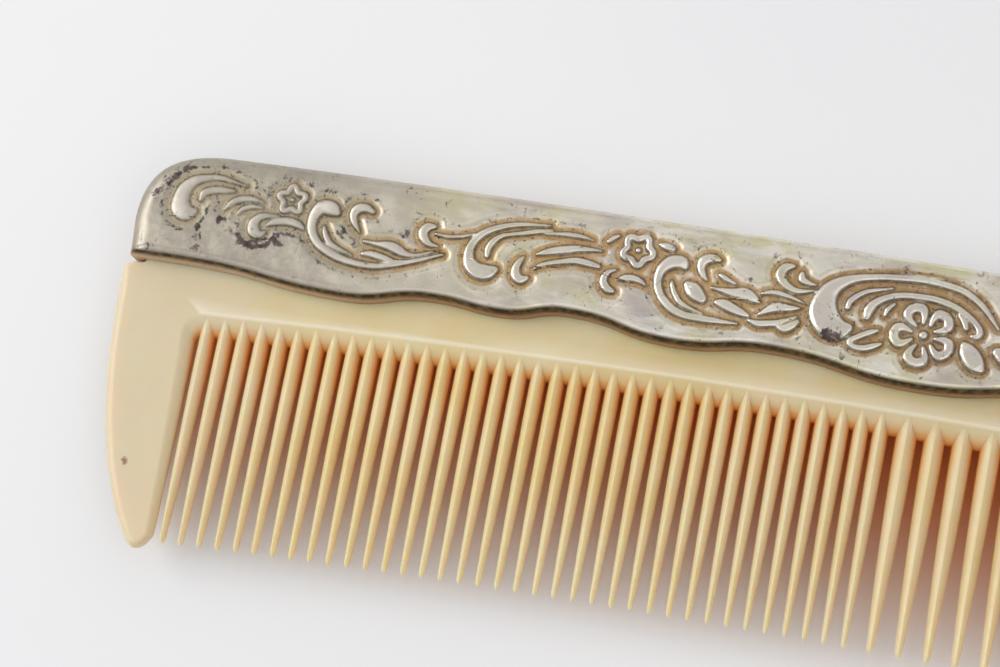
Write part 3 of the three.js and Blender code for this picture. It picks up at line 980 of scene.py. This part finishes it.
# %% Both halves of the row
tooth_places = [(-(i + FINE_START) * FINE_PITCH, FINE_SHAPE) for i in range(1, FINE_TEETH + 1)]
tooth_places += [(i * COARSE_PITCH, COARSE_SHAPE) for i in range(COARSE_TEETH)]
bm = bmesh.new()
for x, shape in tooth_places:
    add_tooth(bm, x, shape)
bmesh.ops.recalc_face_normals(bm, faces=bm.faces)
print(len(tooth_places), "teeth of", len(bm.faces), "faces,", open_edges(bm), "open edges")
teeth_mesh = mesh_from(bm, "teeth")

# %% [markdown]
# ## One moulding
# Teeth that only stood in the blank would show a dark line where they enter it. The exact Boolean
# union makes one skin, and the edges where two surfaces meet sharply are then marked as sharp.

# %% Join the teeth to the blank
SHARP_CORNER = math.radians(38)
teeth = bpy.data.objects.new("teeth", teeth_mesh)
bpy.context.scene.collection.objects.link(teeth)
joined = applied(blank_mesh, "joining", kind="BOOLEAN", operation="UNION", solver="EXACT", object=teeth)
bpy.data.objects.remove(teeth)
print("blade of", triangle_count(joined), "triangles")


def paint_blade(mesh):
    """How deep a point lies between the teeth, where the light in the plastic turns orange and
    the shade deepens, and the painted highlight along the edge where the face breaks into the root slope."""
    x, y, z = coordinates(mesh).T
    face = BLADE_HALF * thickness_share(y)
    low = np.clip(1 - np.abs(z) / face, 0, 1)
    below_root = root_line(x) - y
    in_row = (1 - smoothstep(TOOTH_ROW_X, TOOTH_ROW_X + 1.6, np.abs(x))) * (below_root > -3.0)
    near_root = 0.25 + 0.75 * np.exp(-np.clip(below_root, 0, 40) / 7.0)
    paint(mesh, "gap_depth", low ** 0.8 * near_root * in_row)
    on_edge = (np.abs(x) < TOOTH_ROW_X + 0.4) * (low < 0.25)
    paint(mesh, "root_edge_highlight", band(below_root, -2.5, 0.22) * on_edge)


paint_blade(joined)


def finished_blade(mesh):
    bm = bmesh.new()
    bm.from_mesh(mesh)
    place_in_frame(bm)
    for edge in bm.edges:
        edge.smooth = edge.calc_face_angle(0) < SHARP_CORNER
    print("blade has", open_edges(bm), "open edges")
    return piece_object(bm, "blade_moulded", "comb_blade")


blade = finished_blade(joined)

# %% [markdown]
# ## Materials
# Every finish is made of nodes that read the piece's own place (Object coordinates) or the values
# painted on its vertices. A small helper class keeps the node code short.

# %% Node helper
class Nodes:
    """Adds nodes to a tree and links them: a value that is a socket is linked, others are set."""

    def __init__(self, tree):
        self.tree = tree

    def add(self, kind, inputs=None, **settings):
        node = self.tree.nodes.new(kind)
        for key, value in settings.items():
            setattr(node, key, value)
        for key, value in (inputs or {}).items():
            if isinstance(value, bpy.types.NodeSocket):
                self.tree.links.new(value, node.inputs[key])
            else:
                node.inputs[key].default_value = value
        return node

    def group(self, group, **inputs):
        return self.add("ShaderNodeGroup", inputs, node_tree=group).outputs

    def attribute(self, name):
        return self.add("ShaderNodeAttribute", attribute_name=name).outputs["Fac"]

    def noise(self, place, scale, detail=3.0, rough=0.5, distortion=0.0):
        node = self.add("ShaderNodeTexNoise", {"Vector": place, "Scale": scale, "Detail": detail,
                                               "Roughness": rough, "Distortion": distortion})
        return node.outputs["Fac"]

    def stretched(self, place, along, turn=0.0):
        """The place with its X scaled, so that a pattern is drawn out along the comb."""
        return self.add("ShaderNodeMapping", {"Vector": place, "Rotation": (0, 0, turn),
                                              "Scale": (along, 1, 1)}).outputs[0]

    def axes(self, place):
        return self.add("ShaderNodeSeparateXYZ", {"Vector": place}).outputs

    def times(self, *values):
        """The product of two or more values."""
        product = values[0]
        for value in values[1:]:
            product = self.math("MULTIPLY", product, value)
        return product

    def most(self, *values):
        """The largest of two or more values."""
        largest = values[0]
        for value in values[1:]:
            largest = self.math("MAXIMUM", largest, value)
        return largest

    def bump(self, shader, height, strength, distance):
        node = self.add("ShaderNodeBump", {"Height": height, "Strength": strength, "Distance": distance})
        link(self, node.outputs[0], shader, "Normal")

    def ramp(self, value, low, high, out_low=0.0, out_high=1.0):
        node = self.add("ShaderNodeMapRange", {"Value": value, "From Min": low, "From Max": high,
                                               "To Min": out_low, "To Max": out_high},
                        interpolation_type="SMOOTHSTEP")
        return node.outputs["Result"]

    def math(self, operation, a, b=0.0, clamp=False):
        return self.add("ShaderNodeMath", {0: a, 1: b}, operation=operation, use_clamp=clamp).outputs[0]

    def mix(self, share, a, b, blend="MIX"):
        node = self.add("ShaderNodeMix", data_type="RGBA", blend_type=blend)
        for key, value in (("Factor_Float", share), ("A_Color", a), ("B_Color", b)):
            socket = next(s for s in node.inputs if s.identifier == key)
            if isinstance(value, bpy.types.NodeSocket):
                self.tree.links.new(value, socket)
            else:
                socket.default_value = value
        return next(s for s in node.outputs if s.identifier == "Result_Color")


# %% Material helpers
def new_material(name):
    """A material with an empty Principled shader, its node helper and its Object coordinates."""
    material = bpy.data.materials.new(name)
    material.use_nodes = True
    tree = material.node_tree
    tree.nodes.clear()
    n = Nodes(tree)
    shader = n.add("ShaderNodeBsdfPrincipled")
    n.add("ShaderNodeOutputMaterial", {"Surface": shader.outputs[0]})
    place = n.add("ShaderNodeTexCoord").outputs["Object"]
    return material, n, shader, place


def link(n, source, shader, socket):
    n.tree.links.new(source, shader.inputs[socket])


def colour(r, g, b):
    return (r, g, b, 1.0)


# %% [markdown]
# ## Two shared effects
# Old silver and old solder tarnish alike, and both have pits and fine scratches. Each effect is a
# node group with named inputs and outputs, so that a material only gives it its own amounts.

# %% Shared node groups
def new_group(name, inputs, outputs):
    group = bpy.data.node_groups.new(name, "ShaderNodeTree")
    for label, kind, default in inputs:
        socket = group.interface.new_socket(label, in_out="INPUT", socket_type=kind)
        if default is not None:
            socket.default_value = default
    for label, kind in outputs:
        group.interface.new_socket(label, in_out="OUTPUT", socket_type=kind)
    n = Nodes(group)
    return group, n, n.add("NodeGroupInput").outputs, n.add("NodeGroupOutput").inputs


def tarnish_group():
    """Brown in the recesses, black specks beside them, a faint yellow film on the open metal."""
    group, n, given, out = new_group(
        "tarnish",
        [("Vector", "NodeSocketVector", None), ("Recess", "NodeSocketFloat", 0.0),
         ("Age", "NodeSocketFloat", 1.0)],
        [("Brown", "NodeSocketFloat"), ("Black", "NodeSocketFloat"), ("Film", "NodeSocketFloat")],
    )
    place, recess, age = given["Vector"], given["Recess"], given["Age"]
    patchy = n.ramp(n.noise(place, 900, 4, 0.6), 0.25, 0.55, 0.55, 1.0)
    brown = n.times(n.ramp(recess, 0.25, 0.85), patchy)
    n.tree.links.new(n.math("MULTIPLY", brown, age, True), out["Brown"])
    specks = n.ramp(n.noise(place, 2600, 2, 0.5), 0.60, 0.68)
    clouds = n.ramp(n.noise(place, 260, 3), 0.58, 0.75)
    where = n.math("ADD", n.ramp(recess, 0.15, 0.6, 0.0, 0.75), clouds)
    n.tree.links.new(n.math("MULTIPLY", n.times(specks, where), age, True), out["Black"])
    film = n.ramp(n.noise(place, 130, 3, 0.6, 0.4), 0.42, 0.66)
    n.tree.links.new(film, out["Film"])
    return group


def scratch_group():
    """Heights of fine scratches that run along the comb, and of shallow handling dents."""
    inputs, outputs = [("Vector", "NodeSocketVector", None)], [("Height", "NodeSocketFloat")]
    group, n, given, out = new_group("scratches", inputs, outputs)
    place = given["Vector"]
    lines = n.ramp(n.noise(n.stretched(place, 0.12, 0.5), 5200, 2, 0.6), 0.60, 0.72)
    grain = n.noise(place, 4200, 3, 0.6)
    dents = n.noise(place, 420, 2, 0.5)
    raised = n.math("ADD", n.times(grain, 0.35), n.times(dents, 1.1))
    n.tree.links.new(n.math("SUBTRACT", raised, n.times(lines, 0.30)), out["Height"])
    return group


tarnish, scratches = tarnish_group(), scratch_group()
print("shared groups:", tarnish.name, "and", scratches.name)

# %% [markdown]
# ## Aged silver plate
# The plate is bright on the crests and brushed by polishing on the field. Its grooves hold brown
# dirt, the two ends have gone grey where the comb was held, and the foot wall is tarnished under a
# painted reflection, nearly black under its edge and coppery below. A dark line round the foot of
# each motif and darker groove shoulders are painted shade. Each of these is a colour laid over the
# last one by its own mask.

# %% Aged silver plate
def polished_face(n, place, film, off_middle, far_end):
    """The open metal: filmy, brushed, and duller from the middle to the ends."""
    face = n.mix(film, colour(.80, .74, .625), colour(.73, .68, .42))
    face = n.mix(n.ramp(n.noise(place, 95, 2, 0.5, 0.8), 0.5, 0.7), face, colour(.62, .55, .50))
    brushed = n.noise(n.stretched(place, 0.35), 420, 4, 0.7)
    face = n.mix(n.ramp(brushed, 0.46, 0.66, 0.0, 0.8), face, colour(.93, .89, .80))
    face = n.mix(n.ramp(brushed, 0.46, 0.30, 0.0, 0.65), face, colour(.56, .50, .41))
    face = n.mix(n.ramp(off_middle, 0.026, 0.052, 0.0, 0.45), face, colour(.64, .565, .43))
    end_film = n.mix(n.noise(place, 160, 4, 0.6), colour(.40, .345, .30), colour(.46, .43, .33))
    mottle = n.ramp(n.noise(place, 1100, 4, 0.7), 0.38, 0.62, 0.0, 0.5)
    end_film = n.mix(mottle, end_film, colour(.27, .24, .20))
    return n.mix(n.times(far_end, 0.85), face, end_film)


def foot_wall_tarnish_and_reflection(n, place, far_end, wall_top):
    """Tarnish under a painted reflection: coppery low down, where the ivory blade would show in
    the metal, and nearly black under the turn of the edge, where the dark horizon would.
    """
    low = n.mix(n.noise(place, 700, 3), colour(.40, .215, .11), colour(.56, .35, .21))
    low = n.mix(far_end, low, colour(.68, .52, .38))
    high_patches = n.ramp(n.noise(place, 1300, 4), 0.4, 0.65)
    high = n.mix(high_patches, colour(.045, .03, .012), colour(.16, .11, .045))
    return n.mix(wall_top, low, high)


def silver_material():
    material, n, shader, place = new_material("aged_silver_plate")
    marks = ("recess", "raised", "wall", "wall_top", "outline", "shoulder", "stain")
    recess, raised, wall, wall_top, edge, shoulder, stain = (n.attribute(m) for m in marks)
    off_middle = n.math("ABSOLUTE", n.axes(place)["X"])
    far_end = n.ramp(off_middle, 0.050, 0.074)
    dirt = n.group(tarnish, Vector=place, Recess=recess)
    crust_amount = n.math("ADD", n.times(far_end, 0.10), 0.05)
    crust_place = n.math("ADD", n.times(shoulder, crust_amount), n.times(stain, 0.16))
    crust = n.ramp(n.math("ADD", n.noise(place, 1000, 5, 0.72, 0.8), crust_place), 0.585, 0.74)
    dark = n.most(dirt["Black"], crust)

    face = polished_face(n, place, dirt["Film"], off_middle, far_end)
    face = n.mix(n.times(raised, 0.8), face, colour(.76, .70, .62))
    # Painted shade: the groove shoulders are darkened so that they catch less highlight.
    face = n.mix(n.times(shoulder, 0.45), face, colour(.36, .32, .24))
    groove = n.mix(far_end, colour(.47, .30, .13), colour(.40, .33, .21))
    groove = n.mix(n.ramp(off_middle, 0.022, 0.010, 0.0, 0.6), groove, colour(.33, .20, .085))
    body = n.mix(dirt["Brown"], face, groove)
    # Painted shade: a broken dark line runs round the foot of each motif, where it meets its groove.
    broken_line = n.ramp(n.noise(place, 1500, 3), 0.35, 0.6, 0.35, 0.95)
    body = n.mix(n.times(edge, broken_line), body, colour(.10, .075, .05))
    # The foot wall: tarnish under a painted reflection.
    body = n.mix(wall, body, foot_wall_tarnish_and_reflection(n, place, far_end, wall_top))
    crust_patches = n.ramp(n.noise(place, 900, 2), 0.4, 0.6)
    body = n.mix(dark, body, n.mix(crust_patches, colour(.05, .042, .038), colour(.115, .08, .075)))
    link(n, body, shader, "Base Color")

    dull = n.most(n.times(dirt["Brown"], 0.8), dark, n.times(wall, 0.7), n.times(far_end, 0.45), shoulder)
    polish = n.ramp(n.noise(place, 300, 3), 0.3, 0.7, 0.25, 0.36)
    link(n, n.math("ADD", polish, n.times(dull, 0.32), True), shader, "Roughness")
    link(n, n.math("SUBTRACT", 1.0, n.times(dull, 0.6)), shader, "Metallic")
    height = n.group(scratches, Vector=place)["Height"]
    n.bump(shader, n.math("SUBTRACT", height, n.times(dark, 0.5)), 0.6, 0.00004)
    return material


silver = silver_material()
for shell in (front, back):
    shell.data.materials.append(silver)
print(silver.name, "with", len(silver.node_tree.nodes), "nodes")

# %% [markdown]
# ## Old ivory-coloured plastic
# The plastic is cream with faint streaks along its length, paler at the guard and at the tips, and
# orange down in the gaps, where light has come through several teeth. Subsurface scattering gives
# the waxy softness, and a faint glow on the gap walls stands in for the light from the other teeth.
# Painted shade turns the gaps dark brown deep down and darkens the blade a little towards the right,
# away from the key light, and a painted highlight runs along the edge of the root slope.

# %% Old ivory-coloured plastic
SPECK_AT = (-0.0852, -0.0138, (MID_Z + BLADE_HALF * 0.7) * MM)      # a brown fleck in the guard


def ivory_material():
    material, n, shader, place = new_material("ivory_moulding")
    gap, root_edge_highlight = n.attribute("gap_depth"), n.attribute("root_edge_highlight")
    x, y = n.axes(place)["X"], n.axes(place)["Y"]
    pale_end = n.ramp(x, -0.060, -0.086)
    cloud = n.ramp(n.noise(place, 75, 3, 0.5, 0.6), 0.35, 0.68)
    streaks = n.noise(n.stretched(place, 0.18), 900, 3)
    ground = n.mix(cloud, colour(.78, .67, .415), colour(.745, .60, .29))
    ground = n.mix(n.ramp(streaks, 0.45, 0.75, 0.0, 0.35), ground, colour(.80, .66, .40))
    ground = n.mix(n.times(pale_end, 0.8), ground, colour(.72, .63, .46))
    speck = n.add("ShaderNodeVectorMath", {0: place, 1: SPECK_AT}, operation="DISTANCE").outputs["Value"]
    speck = n.math("ADD", speck, n.times(n.noise(place, 1800, 3), 0.0009))
    ground = n.mix(n.ramp(speck, 0.00098, 0.0006, 0.0, 0.9), ground, colour(.30, .13, .07))
    # Painted shade: the blade is darker from x = -60 mm towards the middle and the right half, away from the
    # key light.
    ground = n.mix(n.ramp(x, -0.060, 0.0, 0.0, 0.25), ground, colour(.60, .48, .31))
    pale_tips = n.times(n.ramp(y, -0.006, -0.021, 0.0, 0.5), n.math("SUBTRACT", 1.0, pale_end))
    ground = n.mix(pale_tips, ground, colour(.86, .755, .55))
    # Painted light and shade: orange in the gaps for light that came through the teeth, dark brown deepest
    # down for the shade between them.
    ground = n.mix(n.ramp(gap, 0.10, 0.7), ground, colour(.68, .36, .105))
    ground = n.mix(n.ramp(gap, 0.6, 1.0), ground, colour(.44, .14, .035))
    # Painted highlight: a pale line along the edge where the face breaks into the root slope.
    ground = n.mix(n.times(root_edge_highlight, 0.8), ground, colour(.92, .86, .72))
    link(n, ground, shader, "Base Color")
    link(n, n.ramp(n.noise(place, 500, 3), 0.3, 0.7, 0.36, 0.46), shader, "Roughness")
    shader.inputs["Subsurface Weight"].default_value = 0.85
    shader.inputs["Subsurface Radius"].default_value = (1.0, 0.42, 0.16)
    shader.inputs["Subsurface Scale"].default_value = 0.0025
    glow = n.mix(n.ramp(gap, 0.15, 0.9), colour(0, 0, 0), colour(.22, .060, .010))
    link(n, glow, shader, "Emission Color")
    shader.inputs["Emission Strength"].default_value = 0.45
    shader.inputs["Coat Weight"].default_value = 0.08
    grain = n.math("ADD", n.times(n.noise(place, 350, 2), 1.5), n.times(streaks, 0.4))
    n.bump(shader, grain, 0.25, 0.00003)
    return material


ivory = ivory_material()
blade.data.materials.append(ivory)
print(ivory.name, "with", len(ivory.node_tree.nodes), "nodes")

# %% [markdown]
# ## Solder and cement
# Soft solder goes dull grey and takes the same tarnish as the plate, so it uses the same two groups.
# Pitch cement is nearly black, matt and gritty. Both pieces keep the shape of the design model.

# %% Solder and cement
def solder_material():
    material, n, shader, place = new_material("grey_solder")
    dirt = n.group(tarnish, Vector=place, Recess=0.7)
    body = n.mix(dirt["Brown"], colour(.45, .43, .40), colour(.22, .17, .12))
    link(n, n.mix(dirt["Black"], body, colour(.04, .035, .03)), shader, "Base Color")
    link(n, n.ramp(n.noise(place, 800, 3), 0.3, 0.7, 0.4, 0.65), shader, "Roughness")
    shader.inputs["Metallic"].default_value = 0.9
    n.bump(shader, n.group(scratches, Vector=place)["Height"], 0.6, 0.00005)
    return material


def cement_material():
    material, n, shader, place = new_material("pitch_cement")
    grit = n.noise(place, 1500, 5, 0.7)
    link(n, n.mix(grit, colour(.02, .014, .01), colour(.07, .045, .03)), shader, "Base Color")
    link(n, n.ramp(grit, 0.3, 0.7, 0.65, 0.9), shader, "Roughness")
    n.bump(shader, grit, 0.8, 0.0001)
    return material


solder, cement = solder_material(), cement_material()
for node, material in (("solder_seam", solder), ("cement_front", cement), ("cement_back", cement)):
    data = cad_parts[node].data
    data.materials.clear()
    data.materials.append(material)
    print(node, "is", material.name)

# %% [markdown]
# ## Floor and light
# The comb lies on a plain pale table. A large soft key light stands to the left, a weaker one high
# to the right and in front, and the sky is bright overhead but dark at the horizon, which darkens the
# foot of the mount together with the painted reflection on its wall. Tracing the light that comes
# through the plastic would take very long, so a little of its warm light is painted on the table
# under the teeth instead.

# %% Floor
def add_floor():
    bm = bmesh.new()
    bmesh.ops.create_circle(bm, segments=64, radius=2.5, cap_ends=True)
    floor = bpy.data.objects.new("table_top", mesh_from(bm, "table_top"))
    bpy.context.scene.collection.objects.link(floor)
    material, n, shader, place = new_material("pale_table")
    shade = n.ramp(n.noise(place, 8, 2), 0.3, 0.7)
    table = n.mix(shade, colour(.86, .86, .87), colour(.88, .88, .885))
    off_middle, y = n.math("ABSOLUTE", n.axes(place)["X"]), n.axes(place)["Y"]
    row_end, tip_y, root_y = TOOTH_ROW_X * MM, TIP_Y * MM, ROOT_Y * MM
    under_teeth = n.ramp(off_middle, row_end + 0.003, row_end + 0.001)
    past_tips = n.ramp(y, tip_y - 0.004, tip_y + 0.001)
    towards_root = n.ramp(y, tip_y - 0.001, root_y, 0.08, 1.0)
    before_root = n.ramp(y, root_y + 0.004, root_y + 0.001)
    top_side = n.math("SUBTRACT", 1.0, n.add("ShaderNodeNewGeometry").outputs["Backfacing"])
    # Painted light: the warm glow that light through the teeth throws on the table under them.
    warm = n.times(under_teeth, past_tips, towards_root, before_root, top_side)
    table = n.mix(warm, table, colour(1.0, .40, .16))
    link(n, table, shader, "Base Color")
    shader.inputs["Roughness"].default_value = 0.9
    shader.inputs["Specular IOR Level"].default_value = 0.1
    floor.data.materials.append(material)


# %% Soft lights and sky
def add_soft_light(name, place, size, power):
    data = bpy.data.lights.new(name, "AREA")
    data.shape = "DISK"
    data.size = size
    data.energy = power
    light = bpy.data.objects.new(name, data)
    light.location = place
    light.rotation_mode = "QUATERNION"
    light.rotation_quaternion = (-Vector(place)).to_track_quat("-Z", "Y")
    bpy.context.scene.collection.objects.link(light)


def add_sky():
    world = bpy.data.worlds.new("studio")
    world.use_nodes = True
    world.node_tree.nodes.clear()
    n = Nodes(world.node_tree)
    ray = n.add("ShaderNodeTexCoord").outputs["Generated"]
    lift = n.add("ShaderNodeVectorMath", {0: ray, 1: (-0.05, 0.22, 0.97)}, operation="DOT_PRODUCT")
    ramp = n.add("ShaderNodeValToRGB", {"Fac": lift.outputs["Value"]})
    stops = ramp.color_ramp.elements
    stops[0].position, stops[0].color = 0.0, colour(.10, .09, .08)
    stops[1].position, stops[1].color = 1.0, colour(.62, .62, .63)
    for position, grey in ((0.16, .20), (0.40, .72), (0.75, .80), (0.93, .66)):
        stop = stops.new(position)
        stop.color = colour(grey, grey, grey * 1.01)
    background = n.add("ShaderNodeBackground", {"Color": ramp.outputs["Color"], "Strength": 1.0})
    n.add("ShaderNodeOutputWorld", {"Surface": background.outputs[0]})
    bpy.context.scene.world = world


add_floor()
add_soft_light("key_light", (-0.58, 0.06, 0.42), 0.5, 2.0)
add_soft_light("fill_light", (0.35, -0.35, 0.95), 0.9, 0.8)
add_sky()
bpy.context.scene.view_settings.view_transform = "Standard"
